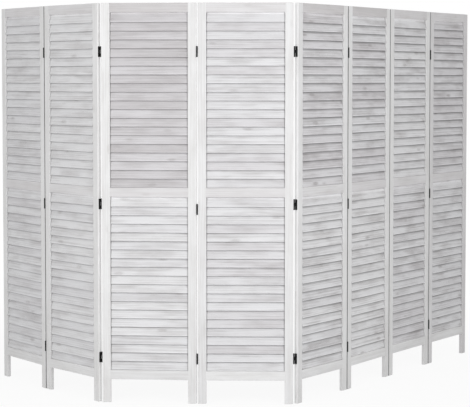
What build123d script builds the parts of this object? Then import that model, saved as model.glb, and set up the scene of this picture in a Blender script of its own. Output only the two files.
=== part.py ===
from build123d import *
import math
import os

# Folding screen of eight louvered panels, +Z up, in mm. The feet stand on Z = 0. The fourth
# panel lies along X with its front face to -Y, and the wings fold back towards +Y. X and Y
# start at the middle of the box that the standing screen fills.

# One panel's frame: two stiles and three rails
panel_w = 404
panel_h = 1700
frame_t = 16
stile_w = 36
rail_h = 40
leg_h = 100  # the stiles run on this far below the bottom rail
middle_rail_z = 900  # height of the middle rail's centre line
arris = 1  # chamfer along the frame's long edges

# Stub tenons on the rails, in blind mortises in the stiles
tenon_l = 12
tenon_t = 6
tenon_h = 28

# Louver slats, fixed between the stiles with the lower edge to the front
slats_per_bay = 20
slat_w = 41.6
slat_t = 5
slat_tilt = 15  # degrees from upright
bay_end_play = 0.5  # between a bay's end slats and its rails

# Steel butt hinges, screwed onto the edges of the stiles
hinge_h = 45
leaf_w = 14  # from the pin's centre to the leaf's free edge
leaf_t = 1.5
pin_d = 3.4
pin_play = 0.05  # all round the pin in its bores
knuckle_play = 0.3  # between a knuckle and what turns past it
pin_stand = 1.5  # the pin's centre stands this far outside the panel's face
barrel_flats = 12  # the many small pins and knuckles are drawn with flats, as round ones are heavy
top_hinge_drop = 205  # from the panel's top to the upper hinge's centre
low_hinge_z = 192  # from the floor to the lower hinge's centre
middle_hinge_drops = (71, 51)  # below the middle rail's centre, on front-pin and back-pin seams

# How far each seam is folded as the screen stands, in degrees. 0 is two panels in line, 180 is
# face to face, and a little below 0 is bent past the line. Odd seams have their pins in front
# and fold front to front, even seams have them behind and fold back to back.
standing_folds = (-5, 45, -4, 56.5, -3, -1, 0.5)
square_panel = 4  # the panel that lies along X

opening_w = panel_w - 2 * stile_w
rail_zs = (leg_h + rail_h / 2, middle_rail_z, panel_h - rail_h / 2)
bore_d = pin_d + 2 * pin_play
barrel_d = bore_d + 2 * leaf_t
seam_gap = barrel_d  # the backs of both leaves are tangent to the barrel
pin_x = (panel_w + seam_gap) / 2
pin_y = frame_t / 2 + pin_stand


def pin_side(seam):
    """-1 where the seam's pins are in front of the panels, 1 where they are behind."""
    return -1 if seam % 2 else 1


def seam_in_panel(seam, edge):
    """The seam's pin axis in the own frame of the panel whose right (1) or left (-1) edge it is."""
    return Location((edge * pin_x, pin_side(seam) * pin_y, 0))


# Places of the panels: each one turns about the pins that it shares with the one on its left
turns = [pin_side(n) * fold for n, fold in enumerate(standing_folds, start=1)]
places = [Location((0, 0, 0), (0, 0, -sum(turns[: square_panel - 1])))]
for seam, turn in enumerate(turns, start=1):
    pin_place = places[-1] * seam_in_panel(seam, 1)
    places.append(pin_place * Location((0, 0, 0), (0, 0, turn)) * seam_in_panel(seam, -1).inverse())

with BuildSketch() as footprint:
    with Locations(*places):
        Rectangle(panel_w, frame_t)
    with Locations(*[place * seam_in_panel(n, 1) for n, place in enumerate(places[:-1], start=1)]):
        RegularPolygon(barrel_d / 2, barrel_flats)
middle = footprint.sketch.bounding_box().center()
places = [Location((-middle.X, -middle.Y, 0)) * place for place in places]

# Stiles: full-height uprights with a blind mortise for each rail. A stile is the same from
# front and back, so the right one is the left one turned half round about the panel's middle.
stile_x = -(panel_w - stile_w) / 2
inner_face = Plane(origin=(-opening_w / 2, 0, 0), x_dir=(0, 1, 0), z_dir=(1, 0, 0))
with BuildPart() as left_stile:
    with BuildSketch() as stile_section:
        with Locations((stile_x, 0)):
            Rectangle(stile_w, frame_t)
        chamfer(stile_section.vertices(), arris)
    extrude(amount=panel_h)
    with BuildSketch(inner_face) as mortises:
        with Locations(*[(0, z) for z in rail_zs]):
            Rectangle(tenon_t, tenon_h)
    extrude(amount=-tenon_l, mode=Mode.SUBTRACT)

with BuildPart() as right_stile:
    add(left_stile.part, rotation=(0, 0, 180))

# Rails: top, middle and bottom, flush with the stiles' faces, with a stub tenon at each end
with BuildPart() as rails:
    with BuildSketch(inner_face) as rail_sections:
        with Locations(*[(0, z) for z in rail_zs]):
            Rectangle(frame_t, rail_h)
        chamfer(rail_sections.vertices(), arris)
    extrude(amount=opening_w)
    with BuildSketch(inner_face.offset(-tenon_l)) as tenons:
        with Locations(*[(0, z) for z in rail_zs]):
            Rectangle(tenon_t, tenon_h)
    extrude(amount=opening_w + 2 * tenon_l)

# Slats: thin tilted boards that overlap like roof tiles, evenly spaced in each of the two bays
slat_rise = slat_w * math.cos(math.radians(slat_tilt)) + slat_t * math.sin(math.radians(slat_tilt))


def bay_slats(low_rail_z, high_rail_z):
    """All slats of the bay between two rails, given by their centre lines."""
    first_z = low_rail_z + rail_h / 2 + bay_end_play + slat_rise / 2
    last_z = high_rail_z - rail_h / 2 - bay_end_play - slat_rise / 2
    pitch = (last_z - first_z) / (slats_per_bay - 1)
    with BuildPart() as slats:
        with BuildSketch(inner_face):
            with Locations(*[(0, first_z + n * pitch) for n in range(slats_per_bay)]):
                Rectangle(slat_t, slat_w, rotation=-slat_tilt)
        extrude(amount=opening_w)
    return slats.part


lower_slats = bay_slats(rail_zs[0], rail_zs[1])
upper_slats = bay_slats(rail_zs[1], rail_zs[2])

# Hinges: drawn about the pin's axis, for a seam with its pins in front. The leaf on the left
# carries the outer knuckles and the pin, and the leaf on the right turns on the middle one.
knuckle_h = (hinge_h - 2 * knuckle_play) / 3
plate_start = barrel_d / 2 + knuckle_play


def hinge_leaf(edge, knuckle_zs):
    """A leaf on the pin's left (-1) or right (1), with a rolled knuckle at each height."""
    plate_x = edge * (seam_gap - leaf_t) / 2
    with BuildPart() as leaf:
        with BuildSketch(Plane.XY.offset(-hinge_h / 2)):
            with Locations((plate_x, plate_start)):
                Rectangle(leaf_t, leaf_w - plate_start, align=(Align.CENTER, Align.MIN))
        extrude(amount=hinge_h)
        for z in knuckle_zs:
            with BuildSketch(Plane.XY.offset(z - knuckle_h / 2)):
                RegularPolygon(barrel_d / 2, barrel_flats)
                with Locations((plate_x, 0)):
                    Rectangle(leaf_t, plate_start, align=(Align.CENTER, Align.MIN))
                RegularPolygon(bore_d / 2, barrel_flats, major_radius=False, mode=Mode.SUBTRACT)
            extrude(amount=knuckle_h)
    return leaf.part


outer_z = (hinge_h - knuckle_h) / 2
pin_leaf = hinge_leaf(-1, (-outer_z, outer_z))
turning_leaf = hinge_leaf(1, (0,))

with BuildPart() as pin:
    with BuildSketch(Plane.XY.offset(-hinge_h / 2)):
        RegularPolygon(pin_d / 2, barrel_flats)
    extrude(amount=hinge_h)


def hinge_places(seam, edge):
    """Where the seam's three hinges sit, in the frame of the panel on whose edge they are."""
    flip = 180 if pin_side(seam) > 0 else 0  # a back-pin hinge is a front-pin one turned over
    middle_drop = middle_hinge_drops[(seam + 1) % 2]
    zs = (low_hinge_z, middle_rail_z - middle_drop, panel_h - top_hinge_drop)
    return [seam_in_panel(seam, edge) * Location((0, 0, z), (flip, 0, 0)) for z in zs]


# Every panel in its place, as separate files
os.makedirs("parts", exist_ok=True)


def write(piece, name, place):
    """Moves a finished piece to its panel's place and writes it under its name."""
    placed = piece.moved(place)
    placed.label = name
    export_step(placed, f"parts/{name}.step")


for number, place in enumerate(places, start=1):
    write(left_stile.part, f"panel_{number}_left_stile", place)
    write(right_stile.part, f"panel_{number}_right_stile", place)
    write(rails.part, f"panel_{number}_rails", place)
    write(lower_slats, f"panel_{number}_lower_slats", place)
    write(upper_slats, f"panel_{number}_upper_slats", place)
    with BuildPart() as leaves:
        if number < len(places):
            with Locations(*hinge_places(number, 1)):
                add(pin_leaf)
        if number > 1:
            with Locations(*hinge_places(number - 1, -1)):
                add(turning_leaf)
    write(leaves.part, f"panel_{number}_hinge_leaves", place)
    if number < len(places):
        with BuildPart() as pins:
            with Locations(*hinge_places(number, 1)):
                add(pin.part)
        write(pins.part, f"seam_{number}_hinge_pins", place)
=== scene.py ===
import math
import random

import bmesh
import bpy
from mathutils import Matrix, Vector


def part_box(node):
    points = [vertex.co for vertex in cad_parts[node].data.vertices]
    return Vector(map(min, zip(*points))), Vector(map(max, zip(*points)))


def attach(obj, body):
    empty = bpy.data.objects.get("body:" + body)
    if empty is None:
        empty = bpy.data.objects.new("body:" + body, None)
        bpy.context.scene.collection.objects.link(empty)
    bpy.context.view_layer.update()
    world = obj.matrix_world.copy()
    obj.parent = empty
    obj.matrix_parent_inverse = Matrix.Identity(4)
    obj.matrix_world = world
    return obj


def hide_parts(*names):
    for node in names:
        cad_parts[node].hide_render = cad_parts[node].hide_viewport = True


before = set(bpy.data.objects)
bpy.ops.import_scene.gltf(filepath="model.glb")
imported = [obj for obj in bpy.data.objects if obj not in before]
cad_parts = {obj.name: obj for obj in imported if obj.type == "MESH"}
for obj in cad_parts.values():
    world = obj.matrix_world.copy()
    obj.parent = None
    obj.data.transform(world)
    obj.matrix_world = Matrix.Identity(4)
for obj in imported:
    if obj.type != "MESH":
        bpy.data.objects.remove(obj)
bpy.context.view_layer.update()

# Stiles: two upright softwood boards to each of the eight panels, whose lower ends are the
# legs. They are planed, their edges are sanded round, and they are brushed with a thin white
# wash through which the grain shows.
panels = range(1, 9)
square_panel = 4  # the panel that lies along X, from which sizes are read
stile_low, stile_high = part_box(f"panel_{square_panel}_left_stile")
bay_low, bay_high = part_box(f"panel_{square_panel}_upper_slats")
stile_w, frame_t, panel_h = stile_high - stile_low
opening_w = bay_high.x - bay_low.x
stile_arris = 0.0014
frame_wash = (0.775, 0.775, 0.775, 1)
frame_bare = (0.47, 0.45, 0.435, 1)
frame_bareness = 0.15
frame_contrast = 0.6
fibre_scales = (16, 750, 750)  # along a board and across it, per metre
streak_scales = (4.5, 140, 140)
patch_scales = (6, 18, 18)
knot_scales = (5, 14, 14)
board_shifts = (90, 70, 50)  # the most that two boards lie apart in these patterns
knot_heart = 0.05  # a knot is barest here, in shares of a cell of its pattern
knot_rim = 0.15
ring_stretch = (0.1, 1, 1)
ring_shifts = (9, 0.14, 0.16)  # across the board: how far off the tree's middle it was sawn
wood_roughness = 0.58
fibre_roughness = 0.3
fibre_height = 0.7  # beside the rings' own height
grain_bump = 0.35
grain_depth = 0.0004
full_wash = (1, 1, 1, 1)
grey_wash = (0.95, 0.95, 0.958, 1)
mauve_wash = (0.865, 0.85, 0.862, 1)
thin_wash = (0.755, 0.735, 0.742, 1)
wash_tints = ((0, full_wash), (0.35, grey_wash), (0.75, mauve_wash), (1, thin_wash))
stile_tones = (0, 0.3)  # a board's tone goes from 0, the thickest wash, to 1, the thinnest
last_stile_tones = (0.5, 0.8)  # the eighth panel has a thinner wash than the others
tone_seed = 4
arris_start = 0.86  # as a share of the way from the middle of a board to its edge
arris_highlight = 1.12  # painted highlight: lighter along the rounded arrises, where they catch the light
edge_start = 0.95
seam_edge_shade = 0.35  # painted shade on the outer edge faces inside the narrow gaps at some seams
shaded_seams = (1, 5, 6, 7)


def node_middle(name):
    """The mean of a CAD node's points, put down on the floor."""
    points = [vertex.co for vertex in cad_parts[name].data.vertices]
    middle = sum(points, Vector()) / len(points)
    middle.z = 0
    return middle


def panel_place(number):
    """Takes a panel that lies along X, middle at the origin and front to -Y, to its place."""
    left = node_middle(f"panel_{number}_left_stile")
    right = node_middle(f"panel_{number}_right_stile")
    along = right - left
    turn = Matrix.Rotation(math.atan2(along.y, along.x), 4, "Z")
    return Matrix.Translation((left + right) / 2) @ turn


def add_node(tree, kind, inputs, **settings):
    """Adds a node with its settings, and gives each named or counted input a value or a link."""
    node = tree.nodes.new(kind)
    for name, value in settings.items():
        setattr(node, name, value)
    for name, value in inputs.items():
        if isinstance(value, bpy.types.NodeSocket):
            tree.links.new(value, node.inputs[name])
        else:
            node.inputs[name].default_value = value
    return node


def add_sockets(tree, in_out, **kinds):
    """Gives a tree its named inputs or outputs. An underscore in a name stands for a space."""
    for name, kind in kinds.items():
        socket_type = f"NodeSocket{kind}"
        tree.interface.new_socket(name.replace("_", " "), in_out=in_out, socket_type=socket_type)


def calculated(tree, operation, *values, **settings):
    """The result of a Math node on one to three values."""
    inputs = dict(enumerate(values))
    return add_node(tree, "ShaderNodeMath", inputs, operation=operation, **settings).outputs[0]


def weighted(tree, value, weight, rest):
    """Adds a value about its middle of 0.5, times a weight, to the rest."""
    centred = calculated(tree, "SUBTRACT", value, 0.5)
    return calculated(tree, "MULTIPLY_ADD", centred, weight, rest)


def ramped(tree, value, start, end, low, high, course="SMOOTHSTEP"):
    """A value that goes from low at the start to high at the end."""
    return add_node(
        tree,
        "ShaderNodeMapRange",
        {"Value": value, "From Min": start, "From Max": end, "To Min": low, "To Max": high},
        interpolation_type=course,
    ).outputs["Result"]


def stored(tree, name, output="Fac"):
    """What the points of a piece carry under a name: a value, or a "Vector"."""
    return add_node(tree, "ShaderNodeAttribute", {}, attribute_name=name).outputs[output]


def mixed(tree, factor, first, second, blend="MIX"):
    """Two colours mixed by a factor."""
    return add_node(
        tree,
        "ShaderNodeMix",
        {"Factor": factor, 6: first, 7: second},
        data_type="RGBA",
        blend_type=blend,
    ).outputs[2]


def scaled_color(tree, color, factor):
    """A colour times a value."""
    inputs = {0: color, "Scale": factor}
    return add_node(tree, "ShaderNodeVectorMath", inputs, operation="SCALE").outputs[0]


def washed_grain():
    """Shader group for wood under a thin wash: growth rings, streaks and fibres along the board.

    A point's place in its board is in the attribute "grain", with X along the board, and the
    board's own number from 0, the thickest wash, to 1, the thinnest, is in "tone".
    """
    tree = bpy.data.node_groups.new("washed grain", "ShaderNodeTree")
    add_sockets(tree, "INPUT", Wash="Color", Bare_Wood="Color", Bareness="Float", Contrast="Float")
    add_sockets(tree, "OUTPUT", Color="Color", Roughness="Float", Height="Float")
    given = tree.nodes.new("NodeGroupInput").outputs
    grain = stored(tree, "grain", "Vector")
    tone = stored(tree, "tone")
    own = add_node(
        tree, "ShaderNodeTexWhiteNoise", {"W": tone}, noise_dimensions="1D"
    ).outputs["Color"]

    def stretched(scales, shifts):
        """The place in the board, stretched along the grain and shifted for each board."""
        scaled = add_node(
            tree, "ShaderNodeVectorMath", {0: grain, 1: scales}, operation="MULTIPLY"
        ).outputs[0]
        return add_node(
            tree, "ShaderNodeVectorMath", {0: own, 1: shifts, 2: scaled}, operation="MULTIPLY_ADD"
        ).outputs[0]

    def noise(scales, detail):
        place = stretched(scales, board_shifts)
        return add_node(
            tree,
            "ShaderNodeTexNoise",
            {"Vector": place, "Scale": 1, "Detail": detail, "Roughness": 0.6},
        ).outputs["Fac"]

    rings = add_node(
        tree,
        "ShaderNodeTexWave",
        {
            "Vector": stretched(ring_stretch, ring_shifts),
            "Scale": 38,
            "Distortion": 7,
            "Detail": 2,
            "Detail Scale": 0.35,
        },
        wave_type="RINGS",
        rings_direction="X",
    ).outputs["Fac"]
    fibres = noise(fibre_scales, 2)
    streaks = noise(streak_scales, 4)
    patches = noise(patch_scales, 2)
    knot_distance = add_node(
        tree, "ShaderNodeTexVoronoi", {"Vector": stretched(knot_scales, board_shifts), "Scale": 1}
    ).outputs["Distance"]
    knots = ramped(tree, knot_distance, knot_rim, knot_heart, 0.5, 1)
    bareness = 0
    for pattern, weight in (
        (rings, 0.22),
        (fibres, 0.5),
        (streaks, 1.1),
        (patches, 1.3),
        (knots, 0.8),
    ):
        bareness = weighted(tree, pattern, weight, bareness)
    bareness = calculated(
        tree, "MULTIPLY_ADD", bareness, given["Contrast"], given["Bareness"], use_clamp=True
    )
    color = mixed(tree, bareness, given["Wash"], given["Bare Wood"])
    roughness = weighted(tree, fibres, fibre_roughness, wood_roughness)
    height = weighted(tree, fibres, fibre_height, rings)
    add_node(tree, "NodeGroupOutput", {"Color": color, "Roughness": roughness, "Height": height})
    return tree


grain_group = washed_grain()


def new_material(name):
    """An empty node material, and its output node."""
    material = bpy.data.materials.new(name)
    material.use_nodes = True
    material.node_tree.nodes.clear()
    return material, material.node_tree.nodes.new("ShaderNodeOutputMaterial")


def wood_parts(name, wash, bare, bareness, contrast):
    """The start of a washed wood: its material, the grain's colour tinted by the board's tone,
    the board's share attribute split in three, and the Principled shader that takes the colour."""
    material, output = new_material(name)
    tree = material.node_tree
    given = {"Wash": wash, "Bare Wood": bare, "Bareness": bareness, "Contrast": contrast}
    grain = tree.nodes.new("ShaderNodeGroup")
    grain.node_tree = grain_group
    for socket, value in given.items():
        grain.inputs[socket].default_value = value
    ramp = add_node(tree, "ShaderNodeValToRGB", {"Fac": stored(tree, "tone")})
    stops = ramp.color_ramp.elements
    stops.remove(stops[1])
    for n, (position, tint) in enumerate(wash_tints):
        stop = stops.new(position) if n else stops[0]
        stop.position = position
        stop.color = tint
    color = mixed(tree, 1, grain.outputs["Color"], ramp.outputs["Color"], "MULTIPLY")
    share = add_node(
        tree, "ShaderNodeSeparateXYZ", {"Vector": stored(tree, "share", "Vector")}
    ).outputs
    bump = add_node(
        tree,
        "ShaderNodeBump",
        {"Height": grain.outputs["Height"], "Strength": grain_bump, "Distance": grain_depth},
    )
    surface = add_node(
        tree,
        "ShaderNodeBsdfPrincipled",
        {"Roughness": grain.outputs["Roughness"], "Normal": bump.outputs["Normal"]},
    )
    tree.links.new(surface.outputs["BSDF"], output.inputs["Surface"])
    return material, color, share, surface


def frame_finish():
    """Washed wood of the stiles and rails: a painted highlight along the arrises, and painted shade
    on the marked seam edges.
    """
    material, color, share, surface = wood_parts(
        "washed frame wood", frame_wash, frame_bare, frame_bareness, frame_contrast
    )
    tree = material.node_tree
    across = calculated(tree, "ABSOLUTE", share["Z"])
    # Painted highlight: the colour is lighter towards the rounded arrises.
    highlighted = ramped(tree, across, arris_start, 1, 1, arris_highlight)
    # Painted shade on the outer edge faces of the marked seams, inside the narrow gaps.
    outward = calculated(tree, "MULTIPLY", share["Z"], stored(tree, "shaded seam edge"))
    seam_shade = ramped(tree, outward, edge_start, 1, 1, seam_edge_shade)
    color = scaled_color(tree, color, highlighted)
    tree.links.new(scaled_color(tree, color, seam_shade), surface.inputs["Base Color"])
    return material


def board(length, thickness, width, arris, ends_eased=True):
    """A board along X with rounded edges. Its points keep their place in it for the grain, in
    metres in "grain", and in "share" as a share of half its length, thickness and width."""
    form = bmesh.new()
    bmesh.ops.create_cube(form, size=1)
    bmesh.ops.scale(form, vec=(length, thickness, width), verts=form.verts)
    edges = [
        edge
        for edge in form.edges
        if ends_eased or abs(edge.verts[0].co.x - edge.verts[1].co.x) > length / 2
    ]
    bmesh.ops.bevel(form, geom=edges, offset=arris, segments=2, profile=0.5, affect="EDGES")
    for face in form.faces:
        flat = max(abs(part) for part in face.normal) >= 0.999
        face.smooth = not flat
    mesh = bpy.data.meshes.new("board")
    form.to_mesh(mesh)
    form.free()
    mesh.attributes.new("grain", "FLOAT_VECTOR", "POINT")
    mesh.attributes.new("share", "FLOAT_VECTOR", "POINT")
    half = Vector((length, thickness, width)) / 2
    for n, vertex in enumerate(mesh.vertices):
        share = [part / whole for part, whole in zip(vertex.co, half)]
        mesh.attributes["grain"].data[n].vector = vertex.co
        mesh.attributes["share"].data[n].vector = share
    return mesh


def marked(mesh, name, value):
    """Gives all points of a board one value of an attribute."""
    values = mesh.attributes.new(name, "FLOAT", "POINT").data
    values.foreach_set("value", [value] * len(values))
    return mesh


def joined(parts):
    """One mesh of copies of meshes, each taken to its place."""
    form = bmesh.new()
    for mesh, place in parts:
        copy = mesh.copy()
        copy.transform(place)
        form.from_mesh(copy)
        bpy.data.meshes.remove(copy)
    mesh = bpy.data.meshes.new("joined")
    form.to_mesh(mesh)
    form.free()
    return mesh


def add_piece(name, mesh, material, slot, body, *replaced):
    """Puts a finished mesh in the scene as a piece that rides on a body for its CAD nodes."""
    mesh.name = name
    mesh.materials.clear()
    mesh.materials.append(material)
    piece = bpy.data.objects.new(name, mesh)
    bpy.context.scene.collection.objects.link(piece)
    if replaced:
        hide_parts(*replaced)
    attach(piece, body)


frame_wood = frame_finish()
draw = random.Random(tone_seed)
upright = Matrix.Translation((0, 0, panel_h / 2)) @ Matrix.Rotation(-math.pi / 2, 4, "Y")
for number in panels:
    for side, edge in (("left", -1), ("right", 1)):
        tones = last_stile_tones if number == len(panels) else stile_tones
        stile = marked(board(panel_h, frame_t, stile_w, stile_arris), "tone", draw.uniform(*tones))
        seam = number - 1 if side == "left" else number
        marked(stile, "shaded seam edge", -edge if seam in shaded_seams else 0)  # upright turns Z to -X
        beside = Matrix.Translation((edge * (opening_w + stile_w) / 2, 0, 0))
        stile.transform(panel_place(number) @ beside @ upright)
        name = f"panel_{number}_{side}_stile"
        add_piece(f"{name}_board", stile, frame_wood, "frame_wood", f"panel_{number}", name)

# Rails: three cross boards to a panel, the same stock as the stiles. They are tenoned into the
# stiles, glued and sanded flush with them, so that only a hairline shows at the joint.
slat_play = 0.0005  # between a bay's end slats and its rails
thin_washed_panels = (3, 5, 6)  # those whose upper parts have a thinner wash
rails_low, rails_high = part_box(f"panel_{square_panel}_rails")
low_bay_low, low_bay_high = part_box(f"panel_{square_panel}_lower_slats")
rail_spans = (
    (rails_low.z, low_bay_low.z - slat_play),
    (low_bay_high.z + slat_play, bay_low.z - slat_play),
    (bay_high.z + slat_play, rails_high.z),
)
rail_tones = ((0.05, 0.3), (0.5, 0.75), (0.5, 0.75))  # of the bottom, middle and top rails
thin_rail_tones = (0.9, 1)
for number in panels:
    rails = []
    for (low, high), tones in zip(rail_spans, rail_tones):
        rail = board(
            opening_w + 2 * stile_arris, frame_t, high - low, stile_arris, ends_eased=False
        )
        if number in thin_washed_panels and high == rails_high.z:
            tones = thin_rail_tones
        rail = marked(rail, "tone", draw.uniform(*tones))
        rails.append((rail, Matrix.Translation((0, 0, (low + high) / 2))))
    mesh = joined(rails)
    mesh.transform(panel_place(number))
    name = f"panel_{number}_rails"
    add_piece(f"{name}_boards", mesh, frame_wood, "frame_wood", f"panel_{number}", name)

# Slats: twenty thin boards in each of a panel's two bays, set in the stiles at a fixed tilt with
# the lower edge to the front, like roof tiles. The wash is thinner on some of them, and there
# the wood gives it a grey or a faintly pink cast.
slats_per_bay = 20
slat_w = 0.0416
slat_t = 0.005
slat_arris = 0.0015
slat_tilt = math.radians(15)
slat_rise = slat_w * math.cos(slat_tilt) + slat_t * math.sin(slat_tilt)
tilt_play = math.radians(0.5)
height_play = 0.0003
slat_wash = (0.735, 0.735, 0.743, 1)
slat_bare = (0.43, 0.415, 0.415, 1)
slat_bareness = 0.2
shade_at_ends = 0.6  # painted shade in the corners where the slats enter the stiles
end_shade_start = 0.006  # from the slat's end
end_shade_full = 0.0015
lap_end = -0.85  # a face goes from -1, at the edge under the next slat's lap, to 1, its free edge
lip_start = 0.8
# The wing panels get deeper painted shade under the lap, a brighter painted highlight on the free
# edge, and stronger grain.
lightly_shaded_slats = {"contrast": 1.15, "lap_start": -0.5, "lap_shade": 0.76, "lip_highlight": 1.14}
deeply_shaded_slats = {"contrast": 1.5, "lap_start": -0.1, "lap_shade": 0.58, "lip_highlight": 1.32}
deeply_shaded_panels = (5, 6, 7, 8)
painted_light_under_rail = 1.25  # painted light on the top slat's upper edge, in the corner that the rail shades
bays = (("lower", low_bay_low.z, low_bay_high.z), ("upper", bay_low.z, bay_high.z))
usual_tones = (0.0, 0.45)  # of the slats in the bays that aren't listed below
bay_tones = {
    (1, "lower"): (0.1, 0.6),
    (2, "upper"): (0.0, 0.15),
    (3, "upper"): (0.75, 1.0),
    (4, "upper"): (0.25, 0.7),
    (4, "lower"): (0.2, 0.65),
    (5, "upper"): (0.3, 0.8),
    (6, "upper"): (0.35, 0.85),
    (6, "lower"): (0.0, 0.1),
    (7, "lower"): (0.25, 0.7),
    (8, "upper"): (0.5, 0.8),
    (8, "lower"): (0.2, 0.5),
}


def slat_ladder():
    """Geometry tree that repeats a slat up a bay, each with a little play and its own tone. The
    mark "lapped" is 1 on each slat but the top one, which has no other above it."""
    tree = bpy.data.node_groups.new("slat ladder", "GeometryNodeTree")
    add_sockets(
        tree,
        "INPUT",
        Slat="Object",
        Count="Int",
        Lowest="Vector",
        Step="Vector",
        Tilt="Float",
        Tilt_Play="Float",
        Height_Play="Vector",
        Lowest_Tone="Float",
        Highest_Tone="Float",
        Seed="Int",
        Wood="Material",
    )
    add_sockets(tree, "OUTPUT", Geometry="Geometry")
    given = tree.nodes.new("NodeGroupInput").outputs
    line = add_node(
        tree,
        "GeometryNodeMeshLine",
        {"Count": given["Count"], "Start Location": given["Lowest"], "Offset": given["Step"]},
    )
    down = add_node(
        tree, "ShaderNodeVectorMath", {0: given["Height Play"], "Scale": -1}, operation="SCALE"
    )
    lift = add_node(
        tree,
        "FunctionNodeRandomValue",
        {0: down.outputs[0], 1: given["Height Play"], "Seed": given["Seed"]},
        data_type="FLOAT_VECTOR",
    )
    places = add_node(
        tree, "GeometryNodeSetPosition", {"Geometry": line.outputs[0], "Offset": lift.outputs[0]}
    )
    spread = add_node(tree, "FunctionNodeRandomValue", {2: -1, 3: 1, "Seed": given["Seed"]})
    tilt = calculated(
        tree, "MULTIPLY_ADD", spread.outputs[1], given["Tilt Play"], given["Tilt"]
    )
    turn = add_node(tree, "ShaderNodeCombineXYZ", {"X": tilt})
    rotation = add_node(tree, "FunctionNodeEulerToRotation", {"Euler": turn.outputs[0]})
    slat = add_node(tree, "GeometryNodeObjectInfo", {"Object": given["Slat"], "As Instance": True})
    slats = add_node(
        tree,
        "GeometryNodeInstanceOnPoints",
        {
            "Points": places.outputs[0],
            "Instance": slat.outputs["Geometry"],
            "Rotation": rotation.outputs[0],
        },
    ).outputs[0]
    tone = add_node(
        tree,
        "FunctionNodeRandomValue",
        {2: given["Lowest Tone"], 3: given["Highest Tone"], "Seed": given["Seed"]},
    ).outputs[1]
    index = tree.nodes.new("GeometryNodeInputIndex").outputs[0]
    lapped = calculated(tree, "LESS_THAN", index, calculated(tree, "SUBTRACT", given["Count"], 1))
    for name, value in (("tone", tone), ("lapped", lapped)):
        slats = add_node(
            tree,
            "GeometryNodeStoreNamedAttribute",
            {"Geometry": slats, "Name": name, "Value": value},
            data_type="FLOAT",
            domain="INSTANCE",
        ).outputs[0]
    real = add_node(tree, "GeometryNodeRealizeInstances", {"Geometry": slats})
    washed = add_node(
        tree, "GeometryNodeSetMaterial", {"Geometry": real.outputs[0], "Material": given["Wood"]}
    )
    add_node(tree, "NodeGroupOutput", {"Geometry": washed.outputs[0]})
    return tree


def plain_mesh(piece):
    """The mesh of an object with its modifiers applied."""
    depsgraph = bpy.context.evaluated_depsgraph_get()
    return bpy.data.meshes.new_from_object(piece.evaluated_get(depsgraph), depsgraph=depsgraph)


def grown(tree, values):
    """The plain mesh that a geometry tree makes with these values of its named inputs."""
    host = bpy.data.objects.new("host", bpy.data.meshes.new("host"))
    bpy.context.scene.collection.objects.link(host)
    modifier = host.modifiers.new("tree", "NODES")
    modifier.node_group = tree
    for item in tree.interface.items_tree:
        if item.in_out == "INPUT" and item.name in values:
            modifier[item.identifier] = values[item.name]
    made = plain_mesh(host)
    bpy.data.objects.remove(host)
    return made


def slat_finish(name, contrast, lap_start, lap_shade, lip_highlight):
    """Washed wood of the slats: painted shade at the ends and under the lap, a painted highlight on
    the free edge.
    """
    material, color, share, surface = wood_parts(
        name, slat_wash, slat_bare, slat_bareness, contrast
    )
    tree = material.node_tree
    from_middle = calculated(tree, "ABSOLUTE", share["X"])
    half_length = opening_w / 2
    shade_start = 1 - end_shade_start / half_length
    shade_full = 1 - end_shade_full / half_length
    # Painted shade near the slat's ends, in the corners where it enters the stiles.
    ends = ramped(tree, from_middle, shade_start, shade_full, 1, shade_at_ends)
    up_the_face = calculated(tree, "MULTIPLY", share["Z"], share["Y"])
    # On the top slat, which no other slat laps, painted light where the rail shades it; on the
    # others, painted shade.
    corner = ramped(tree, stored(tree, "lapped"), 0, 1, painted_light_under_rail, lap_shade)
    # Painted shade on the part of the face under the next slat's lap.
    under_lap = ramped(tree, up_the_face, lap_start, lap_end, 1, corner)
    # Painted highlight on the free lower edge.
    free_edge = ramped(tree, up_the_face, lip_start, 1, 1, lip_highlight)
    for factor in (ends, under_lap, free_edge):
        color = scaled_color(tree, color, factor)
    tree.links.new(color, surface.inputs["Base Color"])
    return material


lightly_shaded_slat_wood = slat_finish("slat wood with light painted shade", **lightly_shaded_slats)
deeply_shaded_slat_wood = slat_finish("slat wood with deep painted shade", **deeply_shaded_slats)
ladder = slat_ladder()
slat = bpy.data.objects.new("slat", board(opening_w, slat_t, slat_w, slat_arris))
bpy.context.scene.collection.objects.link(slat)
for number in panels:
    # The wing panels take the slat wood with the deeper painted shade.
    slat_wood = deeply_shaded_slat_wood if number in deeply_shaded_panels else lightly_shaded_slat_wood
    for n, (bay, low, high) in enumerate(bays):
        tones = bay_tones.get((number, bay), usual_tones)
        mesh = grown(
            ladder,
            {
                "Slat": slat,
                "Count": slats_per_bay,
                "Lowest": (0, 0, low + slat_rise / 2),
                "Step": (0, 0, (high - low - slat_rise) / (slats_per_bay - 1)),
                "Tilt": -slat_tilt,
                "Tilt Play": tilt_play,
                "Height Play": (0, 0, height_play),
                "Lowest Tone": tones[0],
                "Highest Tone": tones[1],
                "Seed": 2 * number + n,
                "Wood": slat_wood,
            },
        )
        mesh.transform(panel_place(number))
        name = f"panel_{number}_{bay}_slats"
        add_piece(f"{name}_boards", mesh, slat_wood, "slat_wood", f"panel_{number}", name)
bpy.data.objects.remove(slat)

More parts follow.
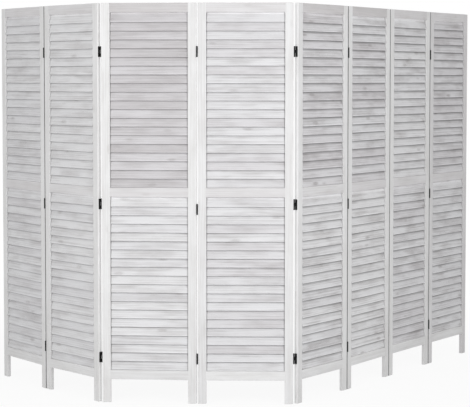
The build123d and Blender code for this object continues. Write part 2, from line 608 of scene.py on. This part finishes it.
# Hinge leaves: small steel butt hinges, three to a seam, screwed to the edges of the stiles. A
# leaf is stamped from sheet with one or two tabs, the tabs are rolled round the pin as knuckles,
# and the hinge is painted black.
hinge_h = 0.045
leaf_w = 0.014  # from the pin's centre to the leaf's free edge
leaf_t = 0.0015
leaf_corner = 0.0025
leaf_corner_steps = 4
leaf_arris = 0.0002
leaf_arris_angle = math.radians(50)
leaf_sharp_angle = math.radians(35)
barrel_r = 0.00325
knuckle_play = 0.0003
roll_steps = 22
roll_angle = math.radians(325)
paint_black = (0.004, 0.004, 0.0045, 1)
scuff_grey = (0.02, 0.02, 0.021, 1)
scuff_scale = 420
scuff_limits = (0.56, 0.7)
noise_limits = (0.3, 0.7)  # most of the paint's noise lies between these
paint_roughness = (0.5, 0.7)
peel_scale = 1500
peel_bump = 0.25
peel_depth = 0.0001


def painted_steel():
    """Black paint on steel, a little uneven, and thin where it was scuffed."""
    material, output = new_material("black painted steel")
    tree = material.node_tree
    place = tree.nodes.new("ShaderNodeTexCoord").outputs["Object"]

    def noise(scale, detail):
        inputs = {"Vector": place, "Scale": scale, "Detail": detail}
        return add_node(tree, "ShaderNodeTexNoise", inputs).outputs["Fac"]

    scuffs = noise(scuff_scale, 4)
    worn = ramped(tree, scuffs, *scuff_limits, 0, 1, "LINEAR")
    color = mixed(tree, worn, paint_black, scuff_grey)
    roughness = ramped(tree, scuffs, *noise_limits, *paint_roughness, "LINEAR")
    bump = add_node(
        tree,
        "ShaderNodeBump",
        {"Height": noise(peel_scale, 1), "Strength": peel_bump, "Distance": peel_depth},
    )
    surface = add_node(
        tree,
        "ShaderNodeBsdfPrincipled",
        {"Base Color": color, "Roughness": roughness, "Normal": bump.outputs["Normal"]},
    )
    tree.links.new(surface.outputs["BSDF"], output.inputs["Surface"])
    return material


def hinge_leaf(edge):
    """The leaf on the pin's left (-1), with two knuckles, or on its right (1), with one."""
    knuckle_h = (hinge_h - 2 * knuckle_play) / 3
    split = knuckle_h / 2 if edge > 0 else knuckle_h / 2 + knuckle_play
    tabs = (1,) if edge > 0 else (0, 2)
    heights = (-hinge_h / 2, -split, split, hinge_h / 2)
    roll_r = barrel_r - leaf_t / 2
    path = [(edge * roll_r, leaf_w), (edge * roll_r, barrel_r + knuckle_play)]
    for step in range(roll_steps + 1):
        angle = roll_angle * step / roll_steps
        path.append((edge * roll_r * math.cos(angle), -roll_r * math.sin(angle)))
    form = bmesh.new()
    sheet = [[form.verts.new((x, y, z)) for z in heights] for x, y in path]
    for column, (near, far) in enumerate(zip(sheet, sheet[1:])):
        for level in range(len(heights) - 1):
            if column == 0 or level in tabs:
                form.faces.new((near[level], far[level], far[level + 1], near[level + 1]))
    bmesh.ops.delete(form, geom=[v for v in form.verts if not v.link_faces], context="VERTS")
    bmesh.ops.bevel(
        form,
        geom=[sheet[0][0], sheet[0][-1]],
        offset=leaf_corner,
        segments=leaf_corner_steps,
        profile=0.5,
        affect="VERTICES",
    )
    bmesh.ops.recalc_face_normals(form, faces=form.faces)
    mesh = bpy.data.meshes.new("leaf")
    form.to_mesh(mesh)
    form.free()
    leaf = bpy.data.objects.new("leaf", mesh)
    bpy.context.scene.collection.objects.link(leaf)
    thickness = leaf.modifiers.new("sheet", "SOLIDIFY")
    thickness.thickness = leaf_t
    thickness.offset = 0
    arris = leaf.modifiers.new("arris", "BEVEL")
    arris.width = leaf_arris
    arris.segments = 1
    arris.angle_limit = leaf_arris_angle
    mesh = plain_mesh(leaf)
    mesh.shade_smooth()
    mesh.set_sharp_from_angle(angle=leaf_sharp_angle)
    bpy.data.objects.remove(leaf)
    return mesh


def hinge_places(seam, number):
    """Where the three hinges of a seam sit on one of its two panels. Even seams are turned over."""
    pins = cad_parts[f"seam_{seam}_hinge_pins"].data.vertices
    levels = sorted({round(vertex.co.z, 4) for vertex in pins})
    axis = node_middle(f"seam_{seam}_hinge_pins")
    turn = panel_place(number).to_3x3().to_4x4()
    over = Matrix.Rotation(math.pi if seam % 2 == 0 else 0, 4, "X")
    return [
        Matrix.Translation(axis + Vector((0, 0, (low + high) / 2))) @ turn @ over
        for low, high in zip(levels[::2], levels[1::2])
    ]


def leaf_places(number):
    """Every leaf of a panel: which side of its pin it lies on, and its place."""
    places = []
    if number < len(panels):
        places += [(-1, place) for place in hinge_places(number, number)]
    if number > 1:
        places += [(1, place) for place in hinge_places(number - 1, number)]
    return places


steel = painted_steel()
leaves = {edge: hinge_leaf(edge) for edge in (-1, 1)}
for number in panels:
    mesh = joined([(leaves[edge], place) for edge, place in leaf_places(number)])
    name = f"panel_{number}_hinge_leaves"
    add_piece(f"{name}_rolled", mesh, steel, "hinge_steel", f"panel_{number}", name)

# Leaf screws: three countersunk cross-head screws to a leaf, staggered so that they do not split
# the stile. They are steel, blackened like the hinge, and their heads lie flush in the leaf.
screws_per_leaf = 3
screw_spacing = 0.0145
screw_stagger = 0.0012
screw_y = 0.0088  # from the pin's centre
screw_proud = 0.00012
screw_head_r = 0.0026
screw_sides = 20
under_head = 0.55  # this and the next three are shares of the head's radius
head_depth = 0.5
slot_length = 1.15
slot_width = 0.28


def screw_row():
    """Geometry tree that makes a leaf's screws: along Y, staggered in X, heads facing +Z."""
    tree = bpy.data.node_groups.new("screw row", "GeometryNodeTree")
    add_sockets(
        tree,
        "INPUT",
        Count="Int",
        First="Vector",
        Step="Vector",
        Stagger="Vector",
        Head_Radius="Float",
        Seed="Int",
        Steel="Material",
    )
    add_sockets(tree, "OUTPUT", Geometry="Geometry")
    given = tree.nodes.new("NodeGroupInput").outputs

    def of_radius(share):
        return calculated(tree, "MULTIPLY", given["Head Radius"], share)

    head = add_node(
        tree,
        "GeometryNodeMeshCone",
        {
            "Vertices": screw_sides,
            "Radius Top": given["Head Radius"],
            "Radius Bottom": of_radius(under_head),
            "Depth": of_radius(head_depth),
        },
    )
    recessed = add_node(
        tree,
        "GeometryNodeMeshBoolean",
        {"Mesh 1": head.outputs["Mesh"]},
        operation="DIFFERENCE",
    )
    lift = add_node(tree, "ShaderNodeCombineXYZ", {"Z": of_radius(head_depth)}).outputs[0]
    for across, along in ((slot_length, slot_width), (slot_width, slot_length)):
        size = add_node(
            tree,
            "ShaderNodeCombineXYZ",
            {"X": of_radius(across), "Y": of_radius(along), "Z": of_radius(head_depth)},
        )
        slot = add_node(tree, "GeometryNodeMeshCube", {"Size": size.outputs[0]})
        cutter = add_node(
            tree, "GeometryNodeTransform", {"Geometry": slot.outputs["Mesh"], "Translation": lift}
        )
        tree.links.new(cutter.outputs[0], recessed.inputs["Mesh 2"])
    line = add_node(
        tree,
        "GeometryNodeMeshLine",
        {"Count": given["Count"], "Start Location": given["First"], "Offset": given["Step"]},
    )
    index = tree.nodes.new("GeometryNodeInputIndex").outputs[0]
    odd = calculated(tree, "MODULO", index, 2)
    aside = add_node(
        tree, "ShaderNodeVectorMath", {0: given["Stagger"], "Scale": odd}, operation="SCALE"
    ).outputs[0]
    places = add_node(
        tree, "GeometryNodeSetPosition", {"Geometry": line.outputs[0], "Offset": aside}
    )
    spin = add_node(
        tree, "FunctionNodeRandomValue", {2: 0, 3: math.pi, "Seed": given["Seed"]}
    ).outputs[1]
    turn = add_node(tree, "ShaderNodeCombineXYZ", {"Z": spin}).outputs[0]
    rotation = add_node(tree, "FunctionNodeEulerToRotation", {"Euler": turn}).outputs[0]
    screws = add_node(
        tree,
        "GeometryNodeInstanceOnPoints",
        {"Points": places.outputs[0], "Instance": recessed.outputs["Mesh"], "Rotation": rotation},
    )
    real = add_node(tree, "GeometryNodeRealizeInstances", {"Geometry": screws.outputs[0]})
    painted = add_node(
        tree, "GeometryNodeSetMaterial", {"Geometry": real.outputs[0], "Material": given["Steel"]}
    )
    add_node(tree, "NodeGroupOutput", {"Geometry": painted.outputs[0]})
    return tree


def screw_place(edge):
    """Stands the row of screws up on the open face of a leaf, in the hinge's own frame."""
    facing = Matrix(((0, 0, -edge), (-edge, 0, 0), (0, 1, 0))).to_4x4()
    head_h = head_depth * screw_head_r
    face_x = edge * (barrel_r - leaf_t + head_h - screw_proud)
    return Matrix.Translation((face_x, screw_y, 0)) @ facing


leaf_screws = screw_row()
for number in panels:
    parts = []
    for n, (edge, place) in enumerate(leaf_places(number)):
        screws = grown(
            leaf_screws,
            {
                "Count": screws_per_leaf,
                "First": (0, -screw_spacing * (screws_per_leaf - 1) / 2, 0),
                "Step": (0, screw_spacing, 0),
                "Stagger": (screw_stagger, 0, 0),
                "Head Radius": screw_head_r,
                "Seed": 10 * number + n,
                "Steel": steel,
            },
        )
        parts.append((screws, place @ screw_place(edge)))
    add_piece(f"panel_{number}_leaf_screws", joined(parts), steel, "hinge_steel", f"panel_{number}")

# Hinge pins: a steel pin runs through the three knuckles of each hinge, held fast in the outer
# two, and its ends are peened to low domes.
pin_r = 0.0017
pin_dome = 0.0007
pin_sides = 20
pin_sharp_angle = math.radians(40)


def hinge_pin():
    """A pin about its hinge's middle, with domed ends."""
    form = bmesh.new()
    bmesh.ops.create_cone(
        form,
        cap_ends=True,
        segments=pin_sides,
        radius1=pin_r,
        radius2=pin_r,
        depth=hinge_h + 2 * pin_dome,
    )
    rims = [edge for edge in form.edges if abs(edge.verts[0].co.z - edge.verts[1].co.z) < pin_r]
    bmesh.ops.bevel(form, geom=rims, offset=pin_dome, segments=3, profile=0.5, affect="EDGES")
    mesh = bpy.data.meshes.new("pin")
    form.to_mesh(mesh)
    form.free()
    mesh.shade_smooth()
    mesh.set_sharp_from_angle(angle=pin_sharp_angle)
    return mesh


pin = hinge_pin()
for seam in panels[:-1]:
    mesh = joined([(pin, place) for place in hinge_places(seam, seam)])
    name = f"seam_{seam}_hinge_pins"
    add_piece(f"{name}_domed", mesh, steel, "hinge_steel", f"panel_{seam}", name)

# Floor: a plain white studio floor. To the camera and in reflections it is white like the
# background, with a share of its own shading near the screen so that the shadow stays.
floor_size = 30
shadow_share = 0.1
shadow_near = 1.2
shadow_far = 3.2
floor_grey = (0.86, 0.86, 0.86, 1)
studio_white = (1, 1, 1, 1)


def seen_on(tree, *rays):
    """1 on rays of these kinds, which carry what the eye sees, and 0 on those that light."""
    path = tree.nodes.new("ShaderNodeLightPath").outputs
    seen = path[rays[0]]
    for ray in rays[1:]:
        seen = calculated(tree, "MAXIMUM", seen, path[ray])
    return seen


def studio_floor():
    """White to the eye, with the screen's shadow, and an ordinary pale floor to the light."""
    material, output = new_material("studio floor")
    tree = material.node_tree
    place = tree.nodes.new("ShaderNodeTexCoord").outputs["Object"]
    distance = add_node(
        tree, "ShaderNodeVectorMath", {0: place}, operation="LENGTH"
    ).outputs["Value"]
    shading = ramped(tree, distance, shadow_near, shadow_far, 1 - shadow_share, 1, "LINEAR")
    seen = seen_on(tree, "Is Camera Ray", "Is Glossy Ray")
    share = calculated(tree, "MULTIPLY", seen, shading)
    lit = add_node(tree, "ShaderNodeBsdfDiffuse", {"Color": floor_grey})
    white = add_node(tree, "ShaderNodeEmission", {"Color": studio_white, "Strength": 1})
    both = add_node(
        tree, "ShaderNodeMixShader", {"Fac": share, 1: lit.outputs[0], 2: white.outputs[0]}
    )
    tree.links.new(both.outputs[0], output.inputs["Surface"])
    return material


half_floor = floor_size / 2
corner_signs = ((-1, -1), (1, -1), (1, 1), (-1, 1))
floor_mesh = bpy.data.meshes.new("floor")
floor_mesh.from_pydata(
    [(x * half_floor, y * half_floor, 0) for x, y in corner_signs], [], [(0, 1, 2, 3)]
)
floor_mesh.materials.append(studio_floor())
floor = bpy.data.objects.new("floor", floor_mesh)
bpy.context.scene.collection.objects.link(floor)

# Light: an even white surround, and two soft boxes in front of the screen, left and right of
# what the camera sees and a little higher than the screen.
surround_strength = 0.62
box_places = (Vector((-2.1, -3.8, 1.9)), Vector((1.8, -3.2, 1.9)))
box_aim = Vector((0.05, -0.3, 0.8))
box_size = 1.6
box_powers = (41, 36)

world = bpy.data.worlds.new("surround")
bpy.context.scene.world = world
world.use_nodes = True
tree = world.node_tree
tree.nodes.clear()
seen = seen_on(tree, "Is Camera Ray", "Is Glossy Ray", "Is Transmission Ray")
strength = ramped(tree, seen, 0, 1, surround_strength, 1, "LINEAR")
surround = add_node(tree, "ShaderNodeBackground", {"Color": studio_white, "Strength": strength})
add_node(tree, "ShaderNodeOutputWorld", {"Surface": surround.outputs[0]})

for box_place, box_power in zip(box_places, box_powers):
    box_light = bpy.data.lights.new("soft box", "AREA")
    box_light.shape = "SQUARE"
    box_light.size = box_size
    box_light.energy = box_power
    soft_box = bpy.data.objects.new("soft box", box_light)
    soft_box.location = box_place
    soft_box.rotation_euler = (box_aim - box_place).to_track_quat("-Z", "Y").to_euler()
    bpy.context.scene.collection.objects.link(soft_box)

# Camera: a long lens some seven metres in front of the screen, a little below its top. It looks
# slightly down, and the lens is shifted a little down as well.
camera_place = (0.147, -7.927, 1.383)
camera_pitch = math.radians(-3.38)
camera_yaw = math.radians(1.32)
focal_length = 131.4
lens_shift = -0.051

camera = bpy.data.objects.new("camera", bpy.data.cameras.new("camera"))
camera.location = camera_place
camera.rotation_euler = (math.pi / 2 + camera_pitch, 0, camera_yaw)
camera.data.lens = focal_length
camera.data.shift_y = lens_shift
bpy.context.scene.collection.objects.link(camera)
bpy.context.scene.camera = camera
bpy.context.scene.view_settings.view_transform = "Standard"
